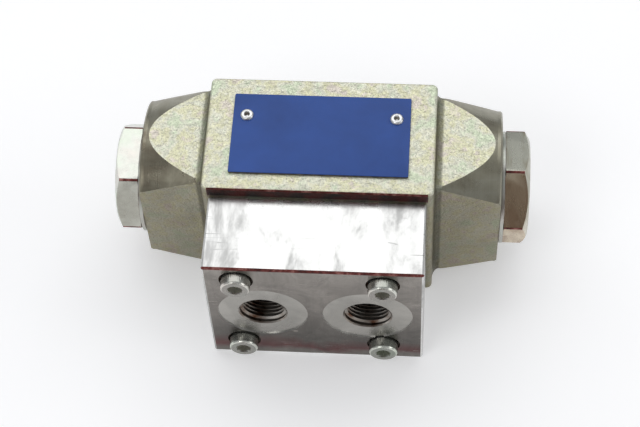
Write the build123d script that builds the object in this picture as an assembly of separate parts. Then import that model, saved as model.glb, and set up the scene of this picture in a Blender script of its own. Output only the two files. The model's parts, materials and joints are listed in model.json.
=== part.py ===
from build123d import *
from math import cos, hypot, pi, radians, sin, tan
import os

# Hydraulic control block with a spring centred spool, all sizes in millimetres.
# X runs along the spool, minus Y is the side of the port block and Z is up.
# The origin lies on the base plane, straight below the spool axis at mid length.

# Centre box of the valve body
axis_height = 41.5
box_width = 102.0
box_front = 31.4
box_back = 27.6
box_height = 82.7
box_corner_radius = 2.6
box_edge_radius = 1.2

# Wings of the valve body, with turned cones at both ends
wing_half_depth = 24.6
wing_half_height = 35.6
wing_corner_radius = 2.0
shoulder_width = 3.0
shoulder_land = 0.1
shoulder_steps = 5
cone_end_radius = 35.3
boss_length = 2.2
body_half_length = 80.5
end_chamfer = 0.8

# Spool, its bore and the ring grooves around the bore
spool_radius = 10.0
running_clearance = 0.03
bore_half_length = 44.0
ring_groove_radius = 14.0
port_groove_width = 12.0
tank_groove_width = 10.0
spool_neck_radius = 6.8
land_lap = 4.3
land_length = 7.0
end_land_length = 12.0
balance_groove_width = 0.6
balance_groove_depth = 0.4
balance_groove_pitch = 3.0
balance_groove_count = 3
spool_travel = 6.0

# Drillings and damping nozzles in the ends of the spool
pilot_radius = 2.0
nozzle_radius = 3.0
nozzle_length = 6.0
nozzle_bore_radius = 0.6
nozzle_slot_width = 1.0
nozzle_slot_depth = 1.4
nozzle_sink = 0.5

# Spring seats and centring springs
seat_radius = 12.5
seat_thickness = 3.0
seat_clearance = 0.05
seat_edge = 0.5
spigot_radius = 5.0
spigot_overhang = 2.0
spring_mean_radius = 7.0
spring_wire_radius = 1.1
spring_turns = 6.5
spring_closed_turns = 1.0
spring_closed_gap = 0.15
spring_sides = 12
spring_gap = 0.05

# Spring chambers and end plugs
chamber_radius = 14.0
plug_thread_radius = 18.2
plug_thread_length = 16.0
plug_hex = 46.0
plug_head_height = 11.0
plug_hex_crown = 0.95
plug_hex_angle = 30.0
plug_nose_clearance = 0.3
plug_bore_radius = 9.0
plug_bore_floor = 80.0
plug_left_turn = 37.0
plug_right_turn = 17.0
stop_clearance = 0.1
undercut_depth = 0.8
undercut_width = 3.0
thread_gap = 0.1
mouth_chamfer = 1.0

# Seal washers under the heads of the plugs
washer_thickness = 2.0
washer_outer_radius = 25.5
washer_inner_gap = 0.3
washer_edge = 0.3

# Port block
block_width = 96.0
block_height = 76.5
block_depth = 36.6
block_chamfer = 1.0
port_spacing = 46.6
port_height = 38.5
port_thread_radius = 9.3
port_thread_length = 16.0
port_mouth_chamfer = 1.7
port_passage_radius = 5.5
spotface_radius = 20.0
spotface_depth = 0.5

# Face seals between the port block and the body
seal_section_radius = 1.0
seal_mean_radius = 9.8
seal_groove_side = 0.5
seal_squeeze_gap = 0.02

# Cap screws that hold the port block
screw_radius = 4.0
screw_thread_radius = 3.6
screw_length = 50.0
screw_spacing_x = 63.6
screw_pattern_shift = -1.6
screw_spacing_z = 54.6
screw_pattern_height = 39.6
screw_head_radius = 6.5
screw_head_height = 8.0
screw_head_edge = 0.8
screw_socket = 6.0
screw_socket_depth = 4.0
counterbore_radius = 7.5
counterbore_depth = 3.0
screw_hole_gap = 0.5
screw_hole_extra = 4.0
small_thread_gap = 0.05

# Tank port in the back of the body
tank_thread_radius = 7.5
tank_thread_length = 11.0
tank_mouth_chamfer = 1.2
tank_passage_radius = 4.5
tank_spotface_radius = 14.0
tank_spotface_depth = 0.5

# Tapped mounting holes in the base
mount_spacing_x = 44.0
mount_spacing_y = 32.0
mount_hole_radius = 3.4
mount_hole_depth = 16.0
mount_chamfer = 0.8

# Name plate and its rivets
plate_width = 79.0
plate_depth = 41.6
plate_thickness = 1.2
plate_corner_radius = 0.8
plate_centre_y = -2.4
rivet_spacing = 66.6
rivet_offset_y = 9.2
rivet_head_radius = 3.1
rivet_head_height = 1.3
rivet_shank_radius = 1.6
rivet_shank_length = 8.0
rivet_hole_gap = 0.05
rivet_core_radius = 1.0
rivet_core_depth = 1.8
rivet_face_radius = 1.9

# Places worked out from the sizes above
box_half = box_width / 2
shoulder_end = box_half + shoulder_width
shoulder_rim = box_corner_radius + shoulder_land
wing_corner_reach = (
    hypot(wing_half_depth - wing_corner_radius, wing_half_height - wing_corner_radius)
    + wing_corner_radius
)
bore_radius = spool_radius + running_clearance
port_x = port_spacing / 2
chamber_end = body_half_length - plug_thread_length
spool_half_length = bore_half_length + spool_travel + stop_clearance
seat_outer = spool_half_length + seat_thickness
plug_nose_end = seat_outer + spool_travel + stop_clearance
plug_nose_radius = chamber_radius - plug_nose_clearance
plug_head_start = body_half_length + washer_thickness
plug_end = plug_head_start + plug_head_height
block_front = box_front + block_depth
counterbore_floor = block_front - counterbore_depth
screw_tip = counterbore_floor - screw_length
neck_inner = port_x - port_groove_width / 2 - land_lap
end_land_inner = bore_half_length - end_land_length
pilot_cross_x = (neck_inner + land_length + end_land_inner) / 2


def along_x(radius, start, end):
    """Cylinder on the spool axis between two stations."""
    base = Plane(origin=(start, 0, axis_height), z_dir=(1, 0, 0))
    return extrude(base * Circle(radius), end - start)


def cone_along_x(start_radius, end_radius, start, end):
    """Cone on the spool axis between two stations."""
    base = Plane(origin=(start, 0, axis_height), z_dir=(1, 0, 0))
    cone = Cone(start_radius, end_radius, end - start, align=(Align.CENTER, Align.CENTER, Align.MIN))
    return base * cone


def along_y(x, z, radius, start, end):
    """Cylinder along Y between two stations."""
    base = Plane(origin=(x, start, z), z_dir=(0, 1, 0))
    return extrude(base * Circle(radius), end - start)


def cone_along_y(x, z, start_radius, end_radius, start, end):
    """Cone along Y between two stations."""
    base = Plane(origin=(x, start, z), z_dir=(0, 1, 0))
    cone = Cone(start_radius, end_radius, end - start, align=(Align.CENTER, Align.CENTER, Align.MIN))
    return base * cone


def along_z(x, y, radius, start, end):
    """Cylinder along Z between two stations."""
    base = Plane(origin=(x, y, start))
    return extrude(base * Circle(radius), end - start)


def mirrored(shape):
    """The same shape on the other side of mid length."""
    return mirror(shape, Plane.YZ)


def section_at(station, share):
    """Section of the shoulder, from the wing at share 0 to the box at share 1."""
    front = wing_half_depth + (box_front - shoulder_rim - wing_half_depth) * share
    back = wing_half_depth + (box_back - shoulder_rim - wing_half_depth) * share
    low = axis_height - wing_half_height
    low = low + (shoulder_rim - low) * share
    high = axis_height + wing_half_height
    high = high + (box_height - shoulder_rim - high) * share
    centre = (station, (back - front) / 2, (low + high) / 2)
    place = Plane(origin=centre, x_dir=(0, 1, 0), z_dir=(1, 0, 0))
    return place * RectangleRounded(front + back, high - low, wing_corner_radius)


def make_box():
    """Centre box with rounded corners and edges."""
    centre_y = (box_back - box_front) / 2
    outline = Plane(origin=(0, centre_y, 0)) * RectangleRounded(
        box_width, box_front + box_back, box_corner_radius
    )
    box = extrude(outline, box_height)
    top_edges = box.faces().sort_by(Axis.Z)[-1].edges()
    box = fillet(top_edges, box_edge_radius)
    base_edges = box.faces().sort_by(Axis.Z)[0].edges()
    return chamfer(base_edges, box_edge_radius / 2)


def make_wing():
    """Wing on the plus X side: flat sided bar with its corners turned to a cone."""
    bar = extrude(section_at(shoulder_end, 0), body_half_length - shoulder_end)
    cone_end = body_half_length - boss_length
    outline = Polyline(
        (shoulder_end, 0),
        (shoulder_end, wing_corner_reach),
        (cone_end, cone_end_radius),
        (body_half_length - end_chamfer, cone_end_radius),
        (body_half_length, cone_end_radius - end_chamfer),
        (body_half_length, 0),
        close=True,
    )
    turned = revolve(Plane.XZ * make_face(outline), Axis.X)
    return bar & Pos(0, 0, axis_height) * turned


def make_shoulder():
    """Hollow curve between the box and the wing on the plus X side."""
    sections = []
    for step in range(shoulder_steps + 1):
        angle = radians(90 * step / shoulder_steps)
        station = box_half + shoulder_width * (1 - cos(angle))
        sections.append(section_at(station, 1 - sin(angle)))
    return loft(sections, ruled=True)


def make_bores():
    """Everything that is bored out on the spool axis."""
    bores = along_x(bore_radius, -bore_half_length, bore_half_length)
    half_tank = tank_groove_width / 2
    half_port = port_groove_width / 2
    bores += along_x(ring_groove_radius, -half_tank, half_tank)
    for side in (-1, 1):
        middle = side * port_x
        bores += along_x(ring_groove_radius, middle - half_port, middle + half_port)
    end_bore = along_x(chamber_radius, bore_half_length, chamber_end)
    end_bore += along_x(plug_thread_radius, chamber_end, body_half_length)
    end_bore += cone_along_x(
        plug_thread_radius,
        plug_thread_radius + mouth_chamfer,
        body_half_length - mouth_chamfer,
        body_half_length,
    )
    return bores + end_bore + mirrored(end_bore)


def port_drillings():
    """Drillings from the front face to the two port grooves."""
    holes = None
    for side in (-1, 1):
        hole = along_y(side * port_x, port_height, port_passage_radius, -box_front, -spool_radius / 2)
        holes = hole if holes is None else holes + hole
    return holes


def tank_port():
    """Threaded port in the back face, with its spotface and passage."""
    floor = box_back - tank_spotface_depth
    thread_end = floor - tank_thread_length
    port = along_y(0, axis_height, tank_spotface_radius, floor, box_back)
    port += along_y(0, axis_height, tank_thread_radius, thread_end, floor)
    port += along_y(0, axis_height, tank_passage_radius, spool_radius / 2, thread_end)
    port += cone_along_y(
        0,
        axis_height,
        tank_thread_radius,
        tank_thread_radius + tank_mouth_chamfer,
        floor - tank_mouth_chamfer,
        floor,
    )
    return port


def screw_places():
    """Centres of the four cap screws as name, X and Z."""
    places = []
    for level, lift in (("upper", 1), ("lower", -1)):
        for hand, side in (("left", -1), ("right", 1)):
            x = screw_pattern_shift + side * screw_spacing_x / 2
            z = screw_pattern_height + lift * screw_spacing_z / 2
            places.append((level + "_" + hand, x, z))
    return places


def mounting_holes():
    """Four blind tapped holes in the base."""
    holes = []
    for x in (-mount_spacing_x / 2, mount_spacing_x / 2):
        for y in (-mount_spacing_y / 2, mount_spacing_y / 2):
            mouth = Pos(x, y, 0) * Cone(
                mount_hole_radius + mount_chamfer,
                mount_hole_radius,
                mount_chamfer,
                align=(Align.CENTER, Align.CENTER, Align.MIN),
            )
            holes.append(along_z(x, y, mount_hole_radius, 0, mount_hole_depth) + mouth)
    return holes


def rivet_places():
    """Centres of the two rivets as name and X."""
    return (("left", -rivet_spacing / 2), ("right", rivet_spacing / 2))


def make_valve_body():
    """Steel body with its spool bore, ports and tapped holes."""
    end = make_shoulder() + make_wing()
    body = make_box() + end + mirrored(end)
    body -= make_bores()
    body -= port_drillings()
    body -= tank_port()
    for name, x, z in screw_places():
        hole_end = -screw_tip + screw_hole_extra
        body -= along_y(x, z, screw_thread_radius, -box_front, hole_end)
    for hole in mounting_holes():
        body -= hole
    rivet_y = plate_centre_y + rivet_offset_y
    rivet_hole_radius = rivet_shank_radius + rivet_hole_gap
    rivet_floor = box_height - rivet_shank_length
    for name, x in rivet_places():
        body -= along_z(x, rivet_y, rivet_hole_radius, rivet_floor, box_height)
    return body


def make_port_block():
    """Milled front block with two threaded ports and four counterbores."""
    block = Pos(0, -(box_front + block_depth / 2), block_height / 2) * Box(
        block_width, block_depth, block_height
    )
    block = chamfer(block.edges(), block_chamfer)
    floor = -(block_front - spotface_depth)
    thread_end = floor + port_thread_length
    for side in (-1, 1):
        x = side * port_x
        block -= along_y(x, port_height, spotface_radius, -block_front, floor)
        block -= along_y(x, port_height, port_thread_radius, floor, thread_end)
        block -= cone_along_y(
            x,
            port_height,
            port_thread_radius + port_mouth_chamfer,
            port_thread_radius,
            floor,
            floor + port_mouth_chamfer,
        )
        block -= along_y(x, port_height, port_passage_radius, thread_end, -box_front)
        groove_floor = -box_front - 2 * seal_section_radius
        outer = seal_mean_radius + seal_section_radius + seal_groove_side
        inner = seal_mean_radius - seal_section_radius - seal_groove_side
        groove = along_y(x, port_height, outer, groove_floor, -box_front)
        groove -= along_y(x, port_height, inner, groove_floor, -box_front)
        block -= groove
    for name, x, z in screw_places():
        block -= along_y(x, z, counterbore_radius, -block_front, -counterbore_floor)
        block -= along_y(x, z, screw_radius + screw_hole_gap, -counterbore_floor, -box_front)
    return block


def make_cap_screw(x, z):
    """Socket head cap screw in the port block."""
    head_top = -counterbore_floor - screw_head_height
    head = along_y(x, z, screw_head_radius, head_top, -counterbore_floor)
    head = chamfer(head.faces().sort_by(Axis.Y)[0].edges(), screw_head_edge)
    socket_place = Plane(origin=(x, head_top, z), z_dir=(0, 1, 0))
    socket = socket_place * RegularPolygon(screw_socket / 2, 6, major_radius=False)
    head -= extrude(socket, screw_socket_depth)
    shank = along_y(x, z, screw_radius, -counterbore_floor, -box_front)
    thread = along_y(x, z, screw_thread_radius - small_thread_gap, -box_front, -screw_tip)
    return head + shank + thread


def make_port_seal(x):
    """Face seal ring in its groove behind one port."""
    place = Plane(
        origin=(x, -box_front - seal_section_radius, port_height), z_dir=(0, 1, 0)
    )
    return place * Torus(seal_mean_radius, seal_section_radius - seal_squeeze_gap)


def make_spool():
    """Spool with a waist at the tank groove, two control lands and two end lands."""
    spool = along_x(spool_neck_radius, -spool_half_length, spool_half_length)
    half = along_x(spool_radius, neck_inner, neck_inner + land_length)
    end_land = along_x(spool_radius, end_land_inner, spool_half_length)
    middle = (end_land_inner + spool_half_length) / 2
    for index in range(balance_groove_count):
        offset = (index - (balance_groove_count - 1) / 2) * balance_groove_pitch
        start = middle + offset - balance_groove_width / 2
        ring = along_x(spool_radius, start, start + balance_groove_width)
        ring -= along_x(spool_radius - balance_groove_depth, start, start + balance_groove_width)
        end_land -= ring
    half += end_land
    half += along_x(spigot_radius, spool_half_length, seat_outer + spigot_overhang)
    spool += half + mirrored(half)
    tip = seat_outer + spigot_overhang
    drilling = along_x(nozzle_radius, tip - nozzle_length - nozzle_sink, tip)
    drilling += along_x(pilot_radius, pilot_cross_x, tip)
    drilling += along_z(
        pilot_cross_x,
        0,
        pilot_radius,
        axis_height - spool_radius,
        axis_height + spool_radius,
    )
    return spool - drilling - mirrored(drilling)


def make_nozzle():
    """Damping nozzle on the plus X side, a slotted set screw with a fine bore."""
    outer = seat_outer + spigot_overhang - nozzle_sink
    inner = outer - nozzle_length
    nozzle = along_x(nozzle_radius - small_thread_gap, inner, outer)
    nozzle -= along_x(nozzle_bore_radius, inner, outer)
    slot = Pos(outer - nozzle_slot_depth / 2, 0, axis_height) * Box(
        nozzle_slot_depth, 2 * nozzle_radius, nozzle_slot_width
    )
    return nozzle - slot


def make_spring_seat():
    """Spring seat on the plus X side."""
    seat = along_x(seat_radius, spool_half_length, seat_outer)
    seat = chamfer(seat.edges().sort_by(Axis.X)[-1], seat_edge)
    return seat - along_x(spigot_radius + seat_clearance, spool_half_length, seat_outer)


def spring_climb(turn, length):
    """Climb of the wire after a number of turns, with closed coils at both ends."""
    closed_climb = spring_closed_turns * (2 * spring_wire_radius + spring_closed_gap)
    open_turns = spring_turns - 2 * spring_closed_turns
    if turn < spring_closed_turns:
        return closed_climb * turn / spring_closed_turns
    if turn > spring_turns - spring_closed_turns:
        return length - closed_climb * (spring_turns - turn) / spring_closed_turns
    pitch = (length - 2 * closed_climb) / open_turns
    return closed_climb + pitch * (turn - spring_closed_turns)


def make_spring():
    """Centring spring on the plus X side, a coil with closed and ground ends."""
    start = seat_outer + spring_gap
    end = plug_bore_floor - spring_gap
    points = []
    for step in range(round(spring_turns * spring_sides) + 1):
        turn = step / spring_sides
        angle = 2 * pi * turn
        y = spring_mean_radius * cos(angle)
        z = axis_height + spring_mean_radius * sin(angle)
        points.append(Vector(start + spring_climb(turn, end - start), y, z))
    section = Plane(points[0], z_dir=points[1] - points[0]) * Circle(spring_wire_radius)
    coil = sweep(section, path=Polyline(*points), transition=Transition.RIGHT)
    reach = spring_mean_radius + 2 * spring_wire_radius
    return coil & along_x(reach, start, end)


def make_plug(turn):
    """Hexagon end plug on the plus X side, bored out for the spring."""
    head_place = Plane(origin=(plug_head_start, 0, axis_height), z_dir=(1, 0, 0))
    hexagon = RegularPolygon(plug_hex / 2, 6, major_radius=False, rotation=turn)
    head = extrude(head_place * hexagon, plug_head_height)
    crown = plug_hex_crown * plug_hex / 2
    spread = crown + plug_head_height / tan(radians(plug_hex_angle))
    head &= cone_along_x(spread, crown, plug_head_start, plug_end)
    thread_radius = plug_thread_radius - thread_gap
    thread_start = chamber_end + thread_gap
    shank = along_x(thread_radius, thread_start, plug_head_start)
    undercut_start = plug_head_start - undercut_width
    undercut = along_x(thread_radius, undercut_start, plug_head_start)
    undercut -= along_x(thread_radius - undercut_depth, undercut_start, plug_head_start)
    shank -= undercut
    nose = along_x(plug_nose_radius, plug_nose_end, thread_start)
    plug = head + shank + nose
    return plug - along_x(plug_bore_radius, plug_nose_end, plug_bore_floor)


def make_washer():
    """Seal washer on the plus X side, between the body and the plug head."""
    washer = along_x(washer_outer_radius, body_half_length, plug_head_start)
    washer = chamfer(washer.edges(), washer_edge)
    inner = plug_thread_radius + washer_inner_gap
    return washer - along_x(inner, body_half_length, plug_head_start)


def make_name_plate():
    """Name plate on top of the body, with a hole for each rivet."""
    outline = Plane(origin=(0, plate_centre_y, box_height)) * RectangleRounded(
        plate_width, plate_depth, plate_corner_radius
    )
    plate = extrude(outline, plate_thickness)
    rivet_y = plate_centre_y + rivet_offset_y
    for name, x in rivet_places():
        plate -= along_z(
            x, rivet_y, rivet_shank_radius + rivet_hole_gap, box_height, box_height + plate_thickness
        )
    return plate


def make_rivet(x):
    """Blind rivet with a domed head and a hollow core."""
    rivet_y = plate_centre_y + rivet_offset_y
    seat = box_height + plate_thickness
    head_place = Pos(x, rivet_y, seat)
    head = head_place * Cone(
        rivet_head_radius,
        rivet_face_radius,
        rivet_head_height,
        align=(Align.CENTER, Align.CENTER, Align.MIN),
    )
    shank = along_z(x, rivet_y, rivet_shank_radius, box_height - rivet_shank_length, seat)
    top = seat + rivet_head_height
    core = along_z(x, rivet_y, rivet_core_radius, top - rivet_core_depth, top)
    return head + shank - core


def write(name, shape):
    """One STEP file for each piece."""
    export_step(shape, os.path.join("parts", name + ".step"))


os.makedirs("parts", exist_ok=True)

write("valve_body", make_valve_body())
write("port_block", make_port_block())
write("spool", make_spool())

nozzle = make_nozzle()
spring_seat = make_spring_seat()
spring = make_spring()
washer = make_washer()
write("damping_nozzle_right", nozzle)
write("damping_nozzle_left", mirrored(nozzle))
write("spring_seat_right", spring_seat)
write("spring_seat_left", mirrored(spring_seat))
write("centring_spring_right", spring)
write("centring_spring_left", mirrored(spring))
write("plug_seal_right", washer)
write("plug_seal_left", mirrored(washer))
write("end_plug_right", make_plug(plug_right_turn))
write("end_plug_left", mirrored(make_plug(plug_left_turn)))
write("port_seal_left", make_port_seal(-port_x))
write("port_seal_right", make_port_seal(port_x))

for place, screw_x, screw_z in screw_places():
    write("cap_screw_" + place, make_cap_screw(screw_x, screw_z))

write("name_plate", make_name_plate())
for hand, rivet_x in rivet_places():
    write("plate_rivet_" + hand, make_rivet(rivet_x))
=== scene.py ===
"""Looks of a hydraulic control block, dressed over its construction frame."""

import json
import math

import bmesh
import bpy
from bpy.props import FloatProperty, FloatVectorProperty, IntProperty, PointerProperty
from mathutils import Matrix, Vector


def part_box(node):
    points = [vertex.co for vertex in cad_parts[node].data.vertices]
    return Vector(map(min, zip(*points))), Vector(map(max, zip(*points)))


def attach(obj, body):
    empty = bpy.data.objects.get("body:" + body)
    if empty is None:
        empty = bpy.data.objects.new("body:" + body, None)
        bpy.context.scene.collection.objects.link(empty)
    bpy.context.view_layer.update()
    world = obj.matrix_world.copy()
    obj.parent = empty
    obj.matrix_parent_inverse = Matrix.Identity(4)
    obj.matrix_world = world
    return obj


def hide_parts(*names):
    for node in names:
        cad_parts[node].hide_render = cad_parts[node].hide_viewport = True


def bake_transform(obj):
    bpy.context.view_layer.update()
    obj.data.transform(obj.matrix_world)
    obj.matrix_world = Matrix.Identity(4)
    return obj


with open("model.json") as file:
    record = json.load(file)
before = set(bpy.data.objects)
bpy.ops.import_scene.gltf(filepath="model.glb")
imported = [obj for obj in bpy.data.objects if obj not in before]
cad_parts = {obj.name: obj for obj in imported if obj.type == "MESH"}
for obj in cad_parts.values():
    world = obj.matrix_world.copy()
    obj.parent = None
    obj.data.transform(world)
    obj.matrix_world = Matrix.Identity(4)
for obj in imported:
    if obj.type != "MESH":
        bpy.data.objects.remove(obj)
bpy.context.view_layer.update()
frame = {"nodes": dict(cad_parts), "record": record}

bl_info = {
    "name": "Hydraulic control block",
    "version": (1, 0, 0),
    "blender": (4, 5, 0),
    "location": "3D View > Sidebar > Control block",
    "description": "Dresses a hydraulic control block with cast, milled and plated pieces",
    "category": "Mesh",
}

HOUSING = "housing"
FULL_TURN = 2 * math.pi
ALONG_X = Vector((1, 0, 0))
ALONG_Y = Vector((0, 1, 0))
ALONG_Z = Vector((0, 0, 1))
REACH = 0.002

# Places read from the frame
MOUNTS = {mount["name"]: mount for mount in frame["record"]["mounts"]}
BOXES = {node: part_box(node) for node in sorted(frame["nodes"])}
MIDDLES = {node: (low + high) / 2 for node, (low, high) in BOXES.items()}
AXIS_POINT = Vector((0, 0, MIDDLES["spool"].z))
BODY_LOW, BODY_HIGH = BOXES["valve_body"]
BLOCK_LOW, BLOCK_HIGH = BOXES["port_block"]
PLATE_LOW, PLATE_HIGH = BOXES["name_plate"]
SCREW_NODES = [node for node in BOXES if node.startswith("cap_screw_")]
SCREW_TOP = BOXES[SCREW_NODES[0]][0].y
RIVET_NODES = [node for node in BOXES if node.startswith("plate_rivet_")]


# Sizes and colours that can be changed


def length(title, text, default):
    """Property for a length in metres."""
    return FloatProperty(name=title, description=text, default=default, min=0, precision=5, unit="LENGTH")


def colour(title, text, default):
    """Property for a colour."""
    return FloatVectorProperty(
        name=title, description=text, default=default, size=3, min=0, max=1, subtype="COLOR"
    )


def turn(title, text, degrees):
    """Property for an angle."""
    return FloatProperty(name=title, description=text, default=math.radians(degrees), subtype="ANGLE")


class BodySizes(bpy.types.PropertyGroup):
    """Sizes of the valve body."""

    box_half: length("Box half width", "Half the width of the centre box", 0.051)
    corner: length("Corner radius", "Radius of the upright corners of the box", 0.0026)
    edge: length("Edge radius", "Radius of the top edges of the box", 0.0012)
    shoulder: length("Shoulder width", "Width of the hollow curve beside the box", 0.003)
    shoulder_rim: length("Shoulder rim", "Strip of the box's side around the hollow curve", 0.0027)
    wing_depth: length("Wing half depth", "From the spool axis to the front flat", 0.0246)
    wing_height: length("Wing half height", "From the spool axis to the top flat", 0.0356)
    wing_corner: length("Wing corner radius", "Radius of the raw bar's corners", 0.002)
    cone_start: length("Cone start radius", "Radius at which the cone starts beside the shoulder", 0.042494)
    cone_end: length("Cone end radius", "Radius at which the cone meets the boss", 0.0353)
    boss: length("Boss length", "Length of the round end boss", 0.0022)
    chamfer: length("End chamfer", "Chamfer around the end face", 0.0008)


class BoreSizes(bpy.types.PropertyGroup):
    """Sizes of the spool bore and the drillings of the body."""

    bore: length("Bore radius", "Radius of the spool bore", 0.01003)
    bore_half: length("Bore half length", "Half the length of the spool bore", 0.044)
    groove: length("Groove radius", "Radius of the ring grooves", 0.014)
    port_groove: length("Port groove width", "Width of the two outer ring grooves", 0.012)
    tank_groove: length("Tank groove width", "Width of the middle ring groove", 0.010)
    plug_thread: length("Plug thread radius", "Radius of the bore for the plug's thread", 0.0182)
    plug_depth: length("Plug thread length", "Depth of the bore for the plug's thread", 0.016)
    mouth: length("Bore mouth", "Chamfer at the mouth of the bore", 0.001)
    passage: length("Passage radius", "Radius of the drillings to the ports", 0.0055)
    tank_passage: length("Tank passage radius", "Radius of the drilling to the tank port", 0.0045)
    screw_tap: length("Screw tap radius", "Radius of the tapped holes for the cap screws", 0.0036)


class PortSizes(bpy.types.PropertyGroup):
    """Sizes of the threaded ports and counterbores."""

    spotface: length("Spotface radius", "Radius of the ring around each port", 0.020)
    tank_spotface: length("Tank spotface radius", "Radius of the ring around the tank port", 0.014)
    spotface_depth: length("Spotface depth", "Depth of the ring around each port", 0.0005)
    thread_reach: length("Thread length", "Depth of each port's thread", 0.016)
    thread_depth: length("Thread depth", "Depth of the thread's grooves", 0.00115)
    thread_pitch: length("Thread pitch", "Distance between two turns of the thread", 0.001814)
    mouth: length("Mouth chamfer", "Chamfer at the mouth of each port", 0.0017)
    tank_reach: length("Tank thread length", "Depth of the tank port's thread", 0.011)
    tank_depth: length("Tank thread depth", "Depth of the tank port's thread grooves", 0.00085)
    tank_pitch: length("Tank thread pitch", "Distance between two turns of that thread", 0.001337)
    tank_mouth: length("Tank mouth chamfer", "Chamfer at the mouth of the tank port", 0.0012)
    edge: length("Block edge", "Width of the milled block's edge chamfers", 0.001)
    counterbore: length("Counterbore radius", "Radius of the pocket under a screw head", 0.0075)
    counterbore_depth: length("Counterbore depth", "Depth of the pocket under a screw head", 0.003)
    screw_hole: length("Screw hole radius", "Radius of the hole for a screw", 0.0045)
    seal_inner: length("Seal groove inside", "Inner radius of the seal groove", 0.0083)
    seal_outer: length("Seal groove outside", "Outer radius of the seal groove", 0.0113)
    seal_depth: length("Seal groove depth", "Depth of the seal groove", 0.002)
    base_depth: length("Base hole depth", "Depth of the tapped holes in the base", 0.016)
    base_thread: length("Base thread depth", "Depth of the thread grooves in the base holes", 0.0006)
    base_pitch: length("Base thread pitch", "Distance between two turns of that thread", 0.00125)


class FastenerSizes(bpy.types.PropertyGroup):
    """Sizes of the screws, rivets, washers, plugs and springs."""

    head: length("Head radius", "Radius of a cap screw's head", 0.0065)
    head_height: length("Head height", "Height of a cap screw's head", 0.008)
    head_edge: length("Head edge", "Chamfer of a cap screw's head", 0.0008)
    shank: length("Shank radius", "Radius of a cap screw's shank", 0.004)
    socket: length("Socket width", "Width of the hexagon socket across its flats", 0.006)
    socket_depth: length("Socket depth", "Depth of the hexagon socket", 0.004)
    knurl_depth: length("Knurl depth", "Depth of the grooves around the head", 0.00012)
    knurl_count: IntProperty(name="Knurl count", description="Grooves around a screw head", default=54, min=12)
    hexagon: length("Hexagon width", "Width of an end plug across its flats", 0.046)
    hexagon_edge: length("Hexagon edge", "Width of the broken edges of the hexagon", 0.0007)
    hexagon_crown: length("Hexagon crown", "Radius of the turned circle on the outer face", 0.02185)
    head_start: length("Plug head start", "From mid length to the inner face of the plug's head", 0.0825)
    left_turn: turn("Left turn", "Turn of the left plug", 7)
    right_turn: turn("Right turn", "Turn of the right plug", -13)
    plug_bore: length("Plug bore radius", "Radius of the plug's hollow", 0.009)
    plug_floor: length("Plug bore floor", "From mid length to the floor of the plug's hollow", 0.080)
    rubber: length("Rubber lip", "Radius at which a seal washer's steel meets its rubber", 0.0203)
    plate_corner: length("Plate corner", "Radius of the plate's corners", 0.0008)
    plate_edge: length("Plate edge", "Radius of the plate's top edge", 0.00025)
    rivet_face: length("Rivet face radius", "Radius of the flat on a rivet's head", 0.0019)
    rivet_shank: length("Rivet shank radius", "Radius of a rivet's shank", 0.0016)
    rivet_core: length("Rivet core radius", "Radius of the hollow core of a rivet", 0.00115)
    wire: length("Wire radius", "Radius of a spring's wire", 0.0011)
    coil: length("Coil radius", "Radius of a spring from its axis to the wire's middle", 0.007)


class Finishes(bpy.types.PropertyGroup):
    """Colours of the finishes."""

    cast_zinc: colour("Cast zinc", "Main tone of the plated casting", (0.74, 0.73, 0.61))
    milled: colour("Milled steel", "Main tone of the milled block", (0.75, 0.75, 0.735))
    plated: colour("Plated steel", "Main tone of plugs and screws", (0.68, 0.69, 0.63))
    enamel: colour("Plate enamel", "Blue of the name plate", (0.020, 0.074, 0.310))
    # This red-brown tone is painted reflection: the red-brown edges, the band low on the block's front and the tint of
    # the strip above the block.
    stain: colour("Dark stain", "Red-brown tone of worn edges and oil stains", (0.16, 0.035, 0.03))
    floor: colour("Floor", "Tone of the floor", (0.86, 0.86, 0.87))


class CameraSettings(bpy.types.PropertyGroup):
    """Where the camera stands and how it is turned."""

    azimuth: turn("Azimuth", "Turn around the object", 6.889)
    elevation: turn("Elevation", "Angle above the floor", 58.7098)
    roll: turn("Roll", "Turn around the line of sight", -3.9787)
    distance: length("Distance", "From the camera to its target", 0.8341734)
    lens: FloatProperty(name="Lens", description="Focal length in millimetres", default=105.434, min=1)


# Small mesh tools


def bevel(shape, test, width, segments):
    """Rounds or chamfers the edges whose middle and direction pass a test."""
    chosen = []
    for edge in shape.edges:
        first, second = (vert.co for vert in edge.verts)
        if test((first + second) / 2, (second - first).normalized()):
            chosen.append(edge)
    bmesh.ops.bevel(
        shape,
        geom=chosen,
        offset=width,
        offset_type="OFFSET",
        affect="EDGES",
        segments=segments,
        profile=0.5,
        material=-1,
    )


def cuboid(low, high):
    """Box between two corners."""
    shape = bmesh.new()
    bmesh.ops.create_cube(shape, size=1)
    bmesh.ops.scale(shape, verts=shape.verts, vec=Vector(high) - Vector(low))
    bmesh.ops.translate(shape, verts=shape.verts, vec=(Vector(high) + Vector(low)) / 2)
    return shape


def turned(profile, origin, axis, steps=96, ring=False):
    """Solid turned from points given as distance along the axis and radius."""
    shape = bmesh.new()
    side = ALONG_Z if abs(axis.z) < 0.5 else ALONG_X
    places = [origin + axis * along + side * radius for along, radius in profile]
    verts = [shape.verts.new(place) for place in places]
    edges = [shape.edges.new(pair) for pair in zip(verts, verts[1:])]
    if ring:
        edges.append(shape.edges.new((verts[-1], verts[0])))
    bmesh.ops.spin(
        shape,
        geom=verts + edges,
        cent=origin,
        axis=axis,
        angle=FULL_TURN,
        steps=steps,
        use_merge=True,
    )
    bmesh.ops.remove_doubles(shape, verts=shape.verts, dist=1e-7)
    bmesh.ops.recalc_face_normals(shape, faces=shape.faces)
    return shape


def rod(origin, axis, start, end, radius, steps=48):
    """Plain cylinder along an axis."""
    return turned([(start, 0), (start, radius), (end, radius), (end, 0)], origin, axis, steps)


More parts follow.
